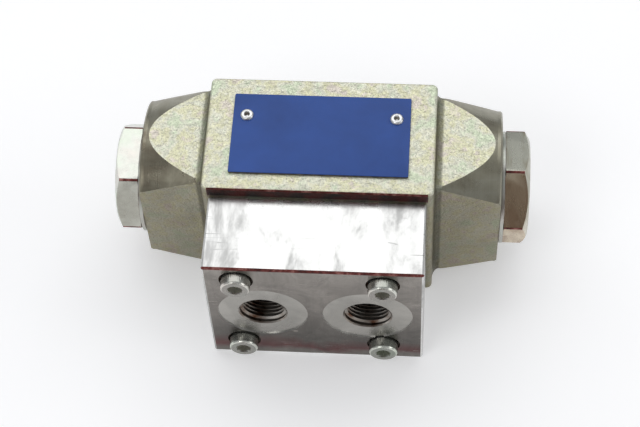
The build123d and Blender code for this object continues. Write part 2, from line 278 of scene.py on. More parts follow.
def join(shape, *others):
    """Adds other shapes to a shape as they are."""
    for other in others:
        mesh = bpy.data.meshes.new("joined")
        other.to_mesh(mesh)
        other.free()
        shape.from_mesh(mesh)
        bpy.data.meshes.remove(mesh)
    return shape


def mirrored(shape):
    """Copy of a shape on the other side of mid length."""
    other = shape.copy()
    bmesh.ops.scale(other, verts=other.verts, vec=(-1, 1, 1))
    bmesh.ops.recalc_face_normals(other, faces=other.faces)
    return other


def as_object(shape, name):
    """Object that holds a shape."""
    mesh = bpy.data.meshes.new(name)
    shape.to_mesh(mesh)
    shape.free()
    piece = bpy.data.objects.new(name, mesh)
    bpy.context.scene.collection.objects.link(piece)
    return piece


def combine(shape, other, operation):
    """Shape joined with another, cut by it, or kept where both are."""
    base = as_object(shape, "base")
    tool = as_object(other, "tool")
    modifier = base.modifiers.new("combine", "BOOLEAN")
    modifier.operation = operation
    modifier.solver = "EXACT"
    modifier.object = tool
    bpy.context.view_layer.update()
    depsgraph = bpy.context.evaluated_depsgraph_get()
    mesh = bpy.data.meshes.new_from_object(base.evaluated_get(depsgraph))
    result = bmesh.new()
    result.from_mesh(mesh)
    bpy.data.meshes.remove(mesh)
    for piece in (base, tool):
        bpy.data.meshes.remove(piece.data)
    bmesh.ops.remove_doubles(result, verts=result.verts, dist=1e-6)
    if not result.faces or any(edge.is_boundary for edge in result.edges):
        raise RuntimeError("A shape came out empty or open after " + operation)
    return result


def thread(origin, axis, start, end, root, depth, pitch, steps=36):
    """Ridge of an inner thread from its root radius inwards."""
    shape = bmesh.new()
    side = ALONG_Z if abs(axis.z) < 0.5 else ALONG_X
    outer = root + 0.00005
    half = pitch * 0.42
    first = start + half
    points = ((first - half, outer), (first, root - depth), (first + half, outer))
    verts = [shape.verts.new(origin + axis * along + side * radius) for along, radius in points]
    edges = [shape.edges.new(pair) for pair in zip(verts, verts[1:] + verts[:1])]
    turns = (end - start - 2 * half) / pitch
    count = round(turns * steps)
    bmesh.ops.spin(
        shape,
        geom=verts + edges,
        cent=origin,
        axis=axis,
        dvec=axis * ((end - start - 2 * half) / count),
        angle=FULL_TURN * turns,
        steps=count,
    )
    bmesh.ops.holes_fill(shape, edges=shape.edges)
    bmesh.ops.recalc_face_normals(shape, faces=shape.faces)
    return shape


def place_piece(name, shape, materials, nodes, choose=None, crease=15.0):
    """Puts a finished shape into the scene in place of its nodes."""
    piece = as_object(shape, name)
    mesh = piece.data
    for material in materials:
        mesh.materials.append(material)
    for polygon in mesh.polygons:
        polygon.use_smooth = True
        if choose:
            polygon.material_index = choose(polygon.center, polygon.normal)
    mesh.set_sharp_from_angle(angle=math.radians(crease))
    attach(piece, HOUSING)
    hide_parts(*nodes)
    return piece


def dress_node(node, material):
    """Gives a node of the frame its material."""
    piece = frame["nodes"][node]
    piece.data.materials.clear()
    piece.data.materials.append(material)


# Materials


class Recipe:
    """Node material under construction."""

    def __init__(self, name, metallic, roughness, base):
        self.material = bpy.data.materials.new(name)
        self.material.use_nodes = True
        self.tree = self.material.node_tree
        self.shader = self.tree.nodes["Principled BSDF"]
        self.shader.inputs["Metallic"].default_value = metallic
        self.shader.inputs["Roughness"].default_value = roughness
        self.shader.inputs["Base Color"].default_value = (*base, 1)
        self.place = self.tree.nodes.new("ShaderNodeTexCoord").outputs["Object"]

    def node(self, kind, **settings):
        """New node with its settings."""
        made = self.tree.nodes.new(kind)
        for key, value in settings.items():
            setattr(made, key, value)
        return made

    def feed(self, socket, value):
        """Gives a socket a link, a number or a tone."""
        if isinstance(value, bpy.types.NodeSocket):
            self.tree.links.new(value, socket)
        elif isinstance(value, tuple):
            socket.default_value = (*value, 1)
        else:
            socket.default_value = value

    def mapped(self, stretch=(1, 1, 1), shift=(0, 0, 0)):
        """Object coordinates, stretched and shifted."""
        mapping = self.node("ShaderNodeMapping")
        mapping.inputs["Scale"].default_value = stretch
        mapping.inputs["Location"].default_value = shift
        self.feed(mapping.inputs["Vector"], self.place)
        return mapping.outputs["Vector"]

    def noise(self, scale, detail=4, rough=0.55, distort=0, vector=None):
        """Noise pattern."""
        made = self.node("ShaderNodeTexNoise")
        made.inputs["Scale"].default_value = scale
        made.inputs["Detail"].default_value = detail
        made.inputs["Roughness"].default_value = rough
        made.inputs["Distortion"].default_value = distort
        self.feed(made.inputs["Vector"], vector or self.place)
        return made.outputs["Fac"]

    def ramp(self, source, stops):
        """Colour ramp through stops of place and tone."""
        made = self.node("ShaderNodeValToRGB")
        elements = made.color_ramp.elements
        while len(elements) < len(stops):
            elements.new(1)
        for element, (spot, tone) in zip(elements, stops):
            element.position = spot
            element.color = (*tone, 1)
        self.feed(made.inputs["Fac"], source)
        return made.outputs["Color"]

    def grey(self, source, stops):
        """Ramp of plain values."""
        return self.ramp(source, [(spot, (value, value, value)) for spot, value in stops])

    def mix(self, share, first, second, kind="MIX"):
        """Mix of two colours, each a link or a tone."""
        made = self.node("ShaderNodeMix", data_type="RGBA", blend_type=kind)
        for index, value in ((0, share), (6, first), (7, second)):
            self.feed(made.inputs[index], value)
        return made.outputs[2]

    def maths(self, operation, *values):
        """Arithmetic on links and numbers."""
        made = self.node("ShaderNodeMath", operation=operation)
        for socket, value in zip(made.inputs, values):
            self.feed(socket, value)
        return made.outputs["Value"]

    def surface(self, colour=None, roughness=None):
        """Patterns for the colour and the roughness."""
        if colour:
            self.feed(self.shader.inputs["Base Color"], colour)
        if roughness:
            self.feed(self.shader.inputs["Roughness"], roughness)

    def bump(self, height, strength, distance):
        """Relief on the surface, over any relief made before."""
        made = self.node("ShaderNodeBump")
        made.inputs["Strength"].default_value = strength
        made.inputs["Distance"].default_value = distance
        self.feed(made.inputs["Height"], height)
        before = self.shader.inputs["Normal"]
        if before.is_linked:
            self.feed(made.inputs["Normal"], before.links[0].from_socket)
        self.feed(self.shader.inputs["Normal"], made.outputs["Normal"])


def gain(tone, red, green=None, blue=None):
    """A tone with its channels made lighter or darker."""
    factors = (red, red if green is None else green, red if blue is None else blue)
    return tuple(min(1, channel * factor) for channel, factor in zip(tone, factors))


def finish_tone(name):
    """A tone of the finishes."""
    return tuple(getattr(bpy.context.scene.block_finishes, name))


MADE = {}


def shared(maker):
    """Material of a maker, made once."""
    if maker not in MADE:
        MADE[maker] = maker()
    return MADE[maker]


def band(recipe, value, start, end):
    """Share from 0 at the start to 1 at the end of a stretch."""
    made = recipe.node("ShaderNodeMapRange")
    for index, item in enumerate((value, start, end, 0.0, 1.0)):
        recipe.feed(made.inputs[index], item)
    return made.outputs["Result"]


def cast_grain(recipe, base):
    """Wrinkled grain with faint green, pink and yellow tints over a tone."""
    green = gain(base, 0.90, 1.02, 0.90)
    pink = gain(base, 1.06, 0.93, 0.97)
    yellow = gain(base, 1.05, 1.01, 0.82)
    drift = recipe.ramp(recipe.noise(110, 4, 0.6), [(0.36, green), (0.46, base), (0.56, yellow), (0.64, pink)])
    grain = recipe.noise(1300, 4, 0.6, 0.3)
    wrinkle = recipe.noise(420, 3, 0.5, 1.4)
    flecks = recipe.grey(grain, [(0.32, 0.70), (0.5, 1.0), (0.66, 1.12)])
    recipe.bump(wrinkle, 0.55, 0.001)
    recipe.bump(grain, 0.5, 0.0005)
    return recipe.mix(1.0, drift, flecks, "MULTIPLY")


def cast_zinc():
    """Grainy casting under pale zinc, with painted shade: darker on faces that do not look up and in the hollow beside
    the box.
    """
    sizes = bpy.context.scene.block_body
    base = finish_tone("cast_zinc")
    recipe = Recipe("cast_zinc", 0.85, 0.4, base)
    place = recipe.node("ShaderNodeSeparateXYZ")
    recipe.feed(place.inputs["Vector"], recipe.place)
    along = recipe.maths("ABSOLUTE", place.outputs["X"])
    start = sizes.box_half
    end = start + sizes.shoulder
    rise = band(recipe, along, start - 0.0004, start + 0.0004)
    fall = band(recipe, along, end + 0.0006, end - 0.0004)
    hollow = recipe.maths("MULTIPLY", rise, fall)
    facing = recipe.node("ShaderNodeSeparateXYZ")
    recipe.feed(facing.inputs["Vector"], recipe.node("ShaderNodeTexCoord").outputs["Normal"])
    # Painted shade: faces that do not look up take a darker tone than the top.
    upward = band(recipe, facing.outputs["Z"], 0.1, 0.85)
    cloud = recipe.noise(40, 4, 0.6, 0.5)
    side = recipe.ramp(cloud, [(0.34, gain(base, 0.40, 0.375, 0.35)), (0.66, gain(base, 0.50, 0.475, 0.445))])
    tone = recipe.mix(upward, side, base)
    # Painted shade in the hollow curve beside the box.
    painted_hollow_shade = recipe.mix(hollow, (1.0, 1.0, 1.0), (0.42, 0.42, 0.40))
    tone = recipe.mix(1.0, cast_grain(recipe, (1.0, 1.0, 1.0)), tone, "MULTIPLY")
    rough = recipe.grey(recipe.noise(420, 3), [(0.3, 0.3), (0.7, 0.46)])
    recipe.surface(recipe.mix(1.0, tone, painted_hollow_shade, "MULTIPLY"), rough)
    return recipe.material


def joint_face():
    """Front of the casting, painted dark above the port block as reflected shade, with a red-brown tint."""
    base = gain(finish_tone("cast_zinc"), 0.5)
    recipe = Recipe("joint_face", 0.7, 0.5, base)
    place = recipe.node("ShaderNodeSeparateXYZ")
    recipe.feed(place.inputs["Vector"], recipe.place)
    # Painted reflected shade: near black above the port block, tinted red-brown.
    height = recipe.maths("SUBTRACT", place.outputs["Z"], BLOCK_HIGH.z - REACH / 2)
    share = recipe.maths("MULTIPLY", height, 1 / REACH)
    stain = recipe.ramp(recipe.noise(120, 4), [(0.4, (0.03, 0.022, 0.02)), (0.62, gain(finish_tone("stain"), 0.6))])
    dark = recipe.node("ShaderNodeClamp")
    recipe.feed(dark.inputs["Value"], share)
    recipe.surface(recipe.mix(dark.outputs["Result"], cast_grain(recipe, base), stain))
    return recipe.material


def worn_edge():
    """Red-brown, uneven edge colour, a painted reflection on the top front edges and the hexagon corners."""
    base = finish_tone("stain")
    recipe = Recipe("worn_edge", 0.6, 0.4, base)
    patches = recipe.noise(260, 4, 0.65)
    recipe.surface(
        recipe.ramp(patches, [(0.36, gain(base, 0.4)), (0.52, base), (0.68, gain(base, 2.4, 5, 5))]),
        recipe.grey(patches, [(0.3, 0.5), (0.7, 0.3)]),
    )
    recipe.bump(patches, 0.2, 0.0002)
    return recipe.material


def turned_zinc():
    """Turned cone under zinc, with fine rings around the spool axis, its tone darkened and browned as painted shade.
    """
    # Painted shade: the base is well below the cast zinc, drifting to darker brown.
    base = gain(finish_tone("cast_zinc"), 0.44, 0.43, 0.41)
    recipe = Recipe("turned_zinc", 0.9, 0.3, base)
    rings = recipe.noise(1, 2, vector=recipe.mapped((2600, 30, 30)))
    stops = [(0.36, gain(base, 0.55, 0.5, 0.46)), (0.5, gain(base, 0.84, 0.82, 0.78)), (0.62, base)]
    drift = recipe.ramp(recipe.noise(48, 5, 0.6, 0.8), stops)
    tone = recipe.mix(0.3, drift, recipe.grey(rings, [(0.3, 0.7), (0.7, 1.0)]), "MULTIPLY")
    recipe.surface(tone, recipe.grey(recipe.noise(120, 4), [(0.3, 0.22), (0.7, 0.38)]))
    recipe.bump(rings, 0.25, 0.00012)
    return recipe.material


def scratches(recipe, stretch, width):
    """Thin broken scratches, 1 on a scratch and 0 beside it."""
    lines = recipe.noise(1, 1, 0.4, vector=recipe.mapped(stretch))
    away = recipe.maths("ABSOLUTE", recipe.maths("SUBTRACT", lines, 0.5))
    line = recipe.maths("LESS_THAN", away, width)
    return recipe.maths("MULTIPLY", line, recipe.maths("GREATER_THAN", recipe.noise(60, 2), 0.56))


def milled_steel():
    """Milled block with faint upright bands, grey smudges and fine scratches."""
    base = finish_tone("milled")
    recipe = Recipe("milled_steel", 1.0, 0.25, base)
    place = recipe.node("ShaderNodeSeparateXYZ")
    recipe.feed(place.inputs["Vector"], recipe.place)
    lines = recipe.noise(1, 3, 0.7, vector=recipe.mapped((1500, 9, 9)))
    bands = recipe.noise(1, 2, 0.5, vector=recipe.mapped((150, 3, 3)))
    smudge = recipe.noise(1, 5, 0.65, 0.4, recipe.mapped((70, 26, 26)))
    edge = band(recipe, recipe.maths("ABSOLUTE", place.outputs["X"]), 0.028, 0.048)
    patch = recipe.maths("SUBTRACT", smudge, recipe.maths("MULTIPLY", edge, 0.09))
    stain = recipe.ramp(patch, [(0.33, gain(base, 0.62)), (0.42, gain(base, 0.93)), (0.5, gain(base, 1.05))])
    facing = recipe.node("ShaderNodeSeparateXYZ")
    recipe.feed(facing.inputs["Vector"], recipe.node("ShaderNodeTexCoord").outputs["Normal"])
    sideways = band(recipe, recipe.maths("ABSOLUTE", facing.outputs["X"]), 0.6, 0.9)
    calm = recipe.ramp(recipe.noise(1, 4, 0.6, 0.2, recipe.mapped((26, 60, 12))), [(0.36, gain(base, 0.72)), (0.64, gain(base, 0.86))])
    cuts = recipe.noise(1, 3, 0.7, vector=recipe.mapped((9, 1300, 9)))
    calm = recipe.mix(0.35, calm, recipe.grey(cuts, [(0.3, 0.7), (0.7, 1.0)]), "MULTIPLY")
    stain = recipe.mix(sideways, stain, calm)
    tone = recipe.mix(0.35, stain, recipe.grey(bands, [(0.36, 0.8), (0.5, 1.0)]), "MULTIPLY")
    tone = recipe.mix(0.3, tone, recipe.grey(lines, [(0.3, 0.75), (0.7, 1.0)]), "MULTIPLY")
    tone = recipe.mix(scratches(recipe, (9, 240, 240), 0.006), tone, gain(base, 0.6))
    recipe.surface(tone, recipe.grey(patch, [(0.3, 0.36), (0.6, 0.22)]))
    recipe.bump(lines, 0.2, 0.00008)
    return recipe.material


def stained_steel():
    """Milled front face, painted dark as reflected shade, darker towards the bottom, with a red-brown band near the
    bottom as painted reflection.
    """
    base = gain(finish_tone("milled"), 0.38, 0.35, 0.325)
    recipe = Recipe("stained_steel", 1.0, 0.3, base)
    place = recipe.node("ShaderNodeSeparateXYZ")
    recipe.feed(place.inputs["Vector"], recipe.place)
    cloud = recipe.noise(26, 5, 0.6, 0.7)
    # Painted shade: the tone darkens towards the bottom of the face.
    height = recipe.maths("MULTIPLY", place.outputs["Z"], 1 / BLOCK_HIGH.z)
    height = recipe.maths("ADD", height, recipe.maths("MULTIPLY", recipe.maths("SUBTRACT", cloud, 0.5), 0.3))
    # Painted reflection: a red-brown band near the bottom edge.
    red = gain(finish_tone("stain"), 0.7, 1.3, 1.5)
    stops = [(0.03, gain(base, 0.6)), (0.08, red), (0.2, gain(base, 0.4)), (0.5, gain(base, 0.7)), (0.95, base)]
    lines = recipe.noise(1, 3, 0.7, vector=recipe.mapped((1500, 9, 9)))
    dirt_and_painted_shade = recipe.grey(recipe.noise(75, 6, 0.7, 0.8), [(0.34, 0.72), (0.5, 1.0), (0.66, 1.3)])
    tone = recipe.mix(0.3, recipe.ramp(height, stops), recipe.grey(lines, [(0.3, 0.7), (0.7, 1.0)]), "MULTIPLY")
    tone = recipe.mix(0.8, tone, dirt_and_painted_shade, "MULTIPLY")
    tone = recipe.mix(scratches(recipe, (12, 12, 420), 0.004), tone, gain(base, 1.3))
    recipe.surface(tone, recipe.grey(cloud, [(0.3, 0.36), (0.7, 0.2)]))
    recipe.bump(lines, 0.2, 0.00008)
    return recipe.material


def faced_steel():
    """Spotface with turning rings around each port."""
    base = gain(finish_tone("milled"), 0.54, 0.52, 0.49)
    recipe = Recipe("faced_steel", 1.0, 0.22, base)
    parts = recipe.node("ShaderNodeSeparateXYZ")
    recipe.feed(parts.inputs["Vector"], recipe.place)
    port = Vector(MOUNTS["port_right"]["pos_m"])
    across = recipe.maths("SUBTRACT", recipe.maths("ABSOLUTE", parts.outputs["X"]), port.x)
    upward = recipe.maths("SUBTRACT", parts.outputs["Z"], port.z)
    across = recipe.maths("MULTIPLY", across, across)
    upward = recipe.maths("MULTIPLY", upward, upward)
    reach = recipe.maths("SQRT", recipe.maths("ADD", across, upward))
    rings = recipe.maths("SINE", recipe.maths("MULTIPLY", reach, FULL_TURN / 0.0004))
    recipe.bump(rings, 0.3, 0.00003)
    cloud = recipe.noise(50, 4, 0.6, 0.5)
    recipe.surface(
        recipe.ramp(cloud, [(0.38, gain(base, 0.8)), (0.6, base)]), recipe.grey(cloud, [(0.3, 0.3), (0.7, 0.18)])
    )
    return recipe.material


def bored_steel():
    """Dark steel of the bores and threads, also on counterbores, rivet cores and washer edges: painted shade of
    recesses and seams.
    """
    recipe = Recipe("bored_steel", 1.0, 0.3, (0.30, 0.27, 0.24))
    stops = [(0.34, (0.10, 0.05, 0.03)), (0.48, (0.26, 0.23, 0.2)), (0.68, (0.42, 0.40, 0.37))]
    recipe.surface(recipe.ramp(recipe.noise(150, 4), stops))
    return recipe.material


def plated_steel(name, rough, scale, depth=1.0):
    """Smooth zinc plating with a faint green and pink sheen."""
    base = gain(finish_tone("plated"), depth)
    recipe = Recipe(name, 0.95, rough, base)
    stops = [(0.35, gain(base, 0.95, 1.02, 0.95)), (0.5, base), (0.65, gain(base, 1.04, 0.97, 0.98))]
    fine = recipe.noise(scale, 4)
    recipe.surface(
        recipe.ramp(recipe.noise(60, 3), stops), recipe.grey(fine, [(0.3, rough * 0.8), (0.7, rough * 1.3)])
    )
    recipe.bump(fine, 0.06, 0.0002)
    return recipe.material


def front_share(recipe):
    """Share from 0 to 1 by how far a surface faces the front, the mask for painted shade on the plugs' front flats."""
    facing = recipe.node("ShaderNodeSeparateXYZ")
    recipe.feed(facing.inputs["Vector"], recipe.node("ShaderNodeTexCoord").outputs["Normal"])
    return band(recipe, facing.outputs["Y"], -0.3, -0.75)


def plug_plating():
    """Smooth plating of the left end plug, painted darker on the front flats as shade."""
    base = gain(finish_tone("plated"), 0.94)
    recipe = Recipe("plug_plating", 0.95, 0.24, base)
    cloud = recipe.noise(60, 4)
    stops = [(0.35, gain(base, 0.93, 1.0, 0.93)), (0.5, base), (0.65, gain(base, 1.04, 0.97, 0.98))]
    # Painted shade on the front flats.
    dirt_and_painted_shade = recipe.ramp(cloud, [(0.36, gain(base, 0.62, 0.6, 0.57)), (0.6, gain(base, 0.82, 0.81, 0.79))])
    fine = recipe.noise(300, 4)
    recipe.surface(
        recipe.mix(front_share(recipe), recipe.ramp(cloud, stops), dirt_and_painted_shade), recipe.grey(fine, [(0.3, 0.19), (0.7, 0.31)])
    )
    recipe.bump(fine, 0.06, 0.0002)
    return recipe.material


def plug_dull():
    """Duller plating of the right end plug, streaked, and painted brown on the front flats as reflection."""
    base = gain(finish_tone("plated"), 0.8, 0.79, 0.74)
    recipe = Recipe("plug_dull", 0.95, 0.24, base)
    streaks = recipe.noise(1, 5, 0.65, 0.5, recipe.mapped((160, 50, 50)))
    upper = recipe.ramp(streaks, [(0.36, gain(base, 0.62, 0.58, 0.52)), (0.46, gain(base, 0.82)), (0.6, base)])
    # Painted reflection: brown on the front flats.
    brown = recipe.ramp(streaks, [(0.36, gain(base, 0.8, 0.58, 0.46)), (0.6, gain(base, 1.3, 1.08, 0.9))])
    recipe.surface(recipe.mix(front_share(recipe), upper, brown), recipe.grey(streaks, [(0.3, 0.34), (0.7, 0.2)]))
    recipe.bump(recipe.noise(300, 4), 0.06, 0.0002)
    return recipe.material


def plug_face():
    """Turned outer face of the end plugs, with fine rings around the spool axis."""
    base = gain(finish_tone("plated"), 0.86)
    recipe = Recipe("plug_face", 0.95, 0.28, base)
    parts = recipe.node("ShaderNodeSeparateXYZ")
    recipe.feed(parts.inputs["Vector"], recipe.place)
    across = recipe.maths("MULTIPLY", parts.outputs["Y"], parts.outputs["Y"])
    upward = recipe.maths("SUBTRACT", parts.outputs["Z"], AXIS_POINT.z)
    upward = recipe.maths("MULTIPLY", upward, upward)
    reach = recipe.maths("SQRT", recipe.maths("ADD", across, upward))
    rings = recipe.node("ShaderNodeTexNoise", noise_dimensions="1D")
    for name, value in (("W", recipe.maths("MULTIPLY", reach, 1900)), ("Scale", 1.0), ("Detail", 3.0)):
        recipe.feed(rings.inputs[name], value)
    rings = rings.outputs["Fac"]
    cloud = recipe.ramp(recipe.noise(70, 4), [(0.35, gain(base, 0.86, 0.88, 0.84)), (0.65, gain(base, 1.05))])
    tone = recipe.mix(0.5, cloud, recipe.grey(rings, [(0.3, 0.62), (0.7, 1.0)]), "MULTIPLY")
    recipe.surface(tone, recipe.grey(rings, [(0.3, 0.36), (0.7, 0.22)]))
    recipe.bump(rings, 0.3, 0.00008)
    return recipe.material


def screw_top():
    """Plating on the top of the cap screws, painted dark as reflected shade."""
    return plated_steel("screw_top", 0.26, 900, 0.46)


def screw_rim():
    """Bright edge around the top of the cap screws."""
    return plated_steel("screw_rim", 0.22, 900, 0.92)


def screw_side():
    """Knurled side of the cap screws, painted darker than the plain plating as shade."""
    return plated_steel("screw_side", 0.24, 900, 0.62)


def screw_socket():
    """Oily hexagon socket of the cap screws."""
    return plated_steel("screw_socket", 0.4, 900, 0.85)


def washer_zinc():
    """Plating of the seal washers."""
    return plated_steel("washer_zinc", 0.34, 700, 0.72)


def blue_enamel():
    """Blue enamel of the name plate, with faint clouds and hairline wear."""
    base = finish_tone("enamel")
    recipe = Recipe("blue_enamel", 0.0, 0.3, base)
    recipe.surface(recipe.ramp(recipe.noise(45, 4), [(0.3, gain(base, 0.85)), (0.7, gain(base, 1.15))]))
    recipe.shader.inputs["Coat Weight"].default_value = 0.06
    recipe.shader.inputs["Specular IOR Level"].default_value = 0.26
    recipe.shader.inputs["Coat Roughness"].default_value = 0.12
    recipe.bump(recipe.noise(500, 3), 0.04, 0.0001)
    return recipe.material


def plate_edge():
    """Cut edge of the plate, painted dull and dark as the shadow along it."""
    recipe = Recipe("plate_edge", 0.6, 0.45, (0.10, 0.09, 0.085))
    recipe.surface(recipe.ramp(recipe.noise(300, 3), [(0.35, (0.06, 0.055, 0.05)), (0.65, (0.16, 0.145, 0.13))]))
    return recipe.material


def bare_aluminium():
    """Bare aluminium of the rivets."""
    recipe = Recipe("bare_aluminium", 1.0, 0.28, (0.78, 0.78, 0.77))
    fine = recipe.noise(700, 3)
    recipe.surface(
        recipe.ramp(fine, [(0.3, (0.66, 0.66, 0.66)), (0.7, (0.85, 0.85, 0.84))]),
        recipe.grey(fine, [(0.3, 0.2), (0.7, 0.38)]),
    )
    return recipe.material


def black_rubber():
    """Matt seal rubber."""
    recipe = Recipe("black_rubber", 0.0, 0.6, (0.02, 0.02, 0.02))
    fine = recipe.noise(900, 3)
    recipe.surface(recipe.ramp(fine, [(0.3, (0.012, 0.012, 0.012)), (0.7, (0.03, 0.03, 0.03))]))
    recipe.bump(fine, 0.1, 0.0001)
    return recipe.material


def ground_metal(name, tone, rough):
    """Ground metal of the inner pieces, with rings around the spool axis."""
    recipe = Recipe(name, 1.0, rough, tone)
    rings = recipe.noise(1, 3, vector=recipe.mapped((2400, 60, 60)))
    recipe.surface(
        recipe.ramp(rings, [(0.3, gain(tone, 0.85)), (0.7, gain(tone, 1.1))]),
        recipe.grey(recipe.noise(200, 3), [(0.3, rough * 0.8), (0.7, rough * 1.3)]),
    )
    return recipe.material


def spool_metal():
    """Hardened and ground spool."""
    return ground_metal("spool_metal", (0.62, 0.62, 0.64), 0.16)


def seat_metal():
    """Turned spring seats."""
    return ground_metal("seat_metal", (0.58, 0.58, 0.60), 0.3)


def spring_metal():
    """Oiled spring wire."""
    return ground_metal("spring_metal", (0.30, 0.30, 0.32), 0.34)


def nozzle_metal():
    """Turned brass of the damping nozzles."""
    return ground_metal("nozzle_metal", (0.78, 0.58, 0.28), 0.25)


# Valve body


def wing_box(share):
    """Middle and half size across and upward of the shoulder's section."""
    sizes = bpy.context.scene.block_body
    rim = sizes.shoulder_rim
    low = Vector((-sizes.wing_depth, AXIS_POINT.z - sizes.wing_height))
    high = Vector((sizes.wing_depth, AXIS_POINT.z + sizes.wing_height))
    low = low.lerp(Vector((BODY_LOW.y + rim, BODY_LOW.z + rim)), share)
    high = high.lerp(Vector((BODY_HIGH.y - rim, BODY_HIGH.z - rim)), share)
    return (low + high) / 2, (high - low) / 2


def wing_with_shoulder():
    """Flat sided bar on the plus X side that flares to the box in a hollow curve."""
    sizes = bpy.context.scene.block_body
    start = sizes.box_half + sizes.shoulder
    middle, half = wing_box(0)
    end = BODY_HIGH.x + REACH
    bar = cuboid((start, middle.x - half.x, middle.y - half.y), (end, middle.x + half.x, middle.y + half.y))
    bevel(bar, lambda place, way: abs(way.x) > 0.9, sizes.wing_corner, 8)
    inner = [face for face in bar.faces if face.normal.x < -0.9]
    steps = 8
    for step in range(1, steps + 2):
        angle = math.radians(90) * max(0, steps - step) / steps
        station = sizes.box_half + sizes.shoulder * (1 - math.cos(angle))
        if step > steps:
            station -= REACH
        new_middle, new_half = wing_box(1 - math.sin(angle))
        made = bmesh.ops.extrude_face_region(bar, geom=inner)["geom"]
        bmesh.ops.delete(bar, geom=inner, context="FACES_ONLY")
        inner = [item for item in made if isinstance(item, bmesh.types.BMFace)]
        for vert in (item for item in made if isinstance(item, bmesh.types.BMVert)):
            across = new_middle.x + (vert.co.y - middle.x) * new_half.x / half.x
            upward = new_middle.y + (vert.co.z - middle.y) * new_half.y / half.y
            vert.co = (station, across, upward)
        middle, half = new_middle, new_half
    bmesh.ops.recalc_face_normals(bar, faces=bar.faces)
    return bar


def cone_radius(along):
    """Radius of the turned envelope at a distance from mid length."""
    sizes = bpy.context.scene.block_body
    start = sizes.box_half + sizes.shoulder
    end = BODY_HIGH.x - sizes.boss
    share = min(1, max(0, (along - start) / (end - start)))
    return sizes.cone_start + (sizes.cone_end - sizes.cone_start) * share


def turned_envelope():
    """Cone and boss that the wing's corners are turned to."""
    sizes = bpy.context.scene.block_body
    start = sizes.box_half + sizes.shoulder
    wide = 2 * sizes.cone_start
    inner = sizes.box_half - 2 * REACH
    profile = [
        (inner, 0),
        (inner, wide),
        (start, wide),
        (start, sizes.cone_start),
        (BODY_HIGH.x - sizes.boss, sizes.cone_end),
        (BODY_HIGH.x - sizes.chamfer, sizes.cone_end),
        (BODY_HIGH.x, sizes.cone_end - sizes.chamfer),
        (BODY_HIGH.x, 0),
    ]
    return turned(profile, AXIS_POINT, ALONG_X, 144)


def spool_bore():
    """Everything that is bored out on the spool axis."""
    bores = bpy.context.scene.block_bores
    port = Vector(MOUNTS["port_right"]["pos_m"]).x
    half_port = bores.port_groove / 2
    half_tank = bores.tank_groove / 2
    thread_start = BODY_HIGH.x - bores.plug_depth
    mouth = bores.plug_thread + bores.mouth
    half = [
        (half_tank, bores.groove),
        (half_tank, bores.bore),
        (port - half_port, bores.bore),
        (port - half_port, bores.groove),
        (port + half_port, bores.groove),
        (port + half_port, bores.bore),
        (bores.bore_half, bores.bore),
        (bores.bore_half, bores.groove),
        (thread_start, bores.groove),
        (thread_start, bores.plug_thread),
        (BODY_HIGH.x - bores.mouth, bores.plug_thread),
        (BODY_HIGH.x, mouth),
        (BODY_HIGH.x + REACH, mouth),
        (BODY_HIGH.x + REACH, 0),
    ]
    other = [(-along, radius) for along, radius in reversed(half)]
    return turned(other + half, AXIS_POINT, ALONG_X, 96)


def port_bore(mount, floor, outside, spotface, mouth, reach, depth, passage, passage_end):
    """Spotface, mouth, threaded bore and passage of one port, along Y."""
    centre = Vector((mount["pos_m"][0], 0, mount["pos_m"][2]))
    inward = -1 if outside > floor else 1
    core = mount["dims"]["r_mm"] / 1000
    root = core + depth
    profile = [
        (outside, 0),
        (outside, spotface),
        (floor, spotface),
        (floor, core + mouth),
        (floor + inward * (core + mouth - root), root),
        (floor + inward * reach, root),
        (floor + inward * reach, passage),
        (passage_end, passage),
        (passage_end, 0),
    ]
    return turned(profile, centre, ALONG_Y, 96)


def base_places():
    """Centres of the tapped holes in the base."""
    dims = MOUNTS["base_holes"]["dims"]
    half_x = dims["spacing_x_mm"] / 2000
    half_y = dims["spacing_y_mm"] / 2000
    return [Vector((x, y, 0)) for x in (-half_x, half_x) for y in (-half_y, half_y)]


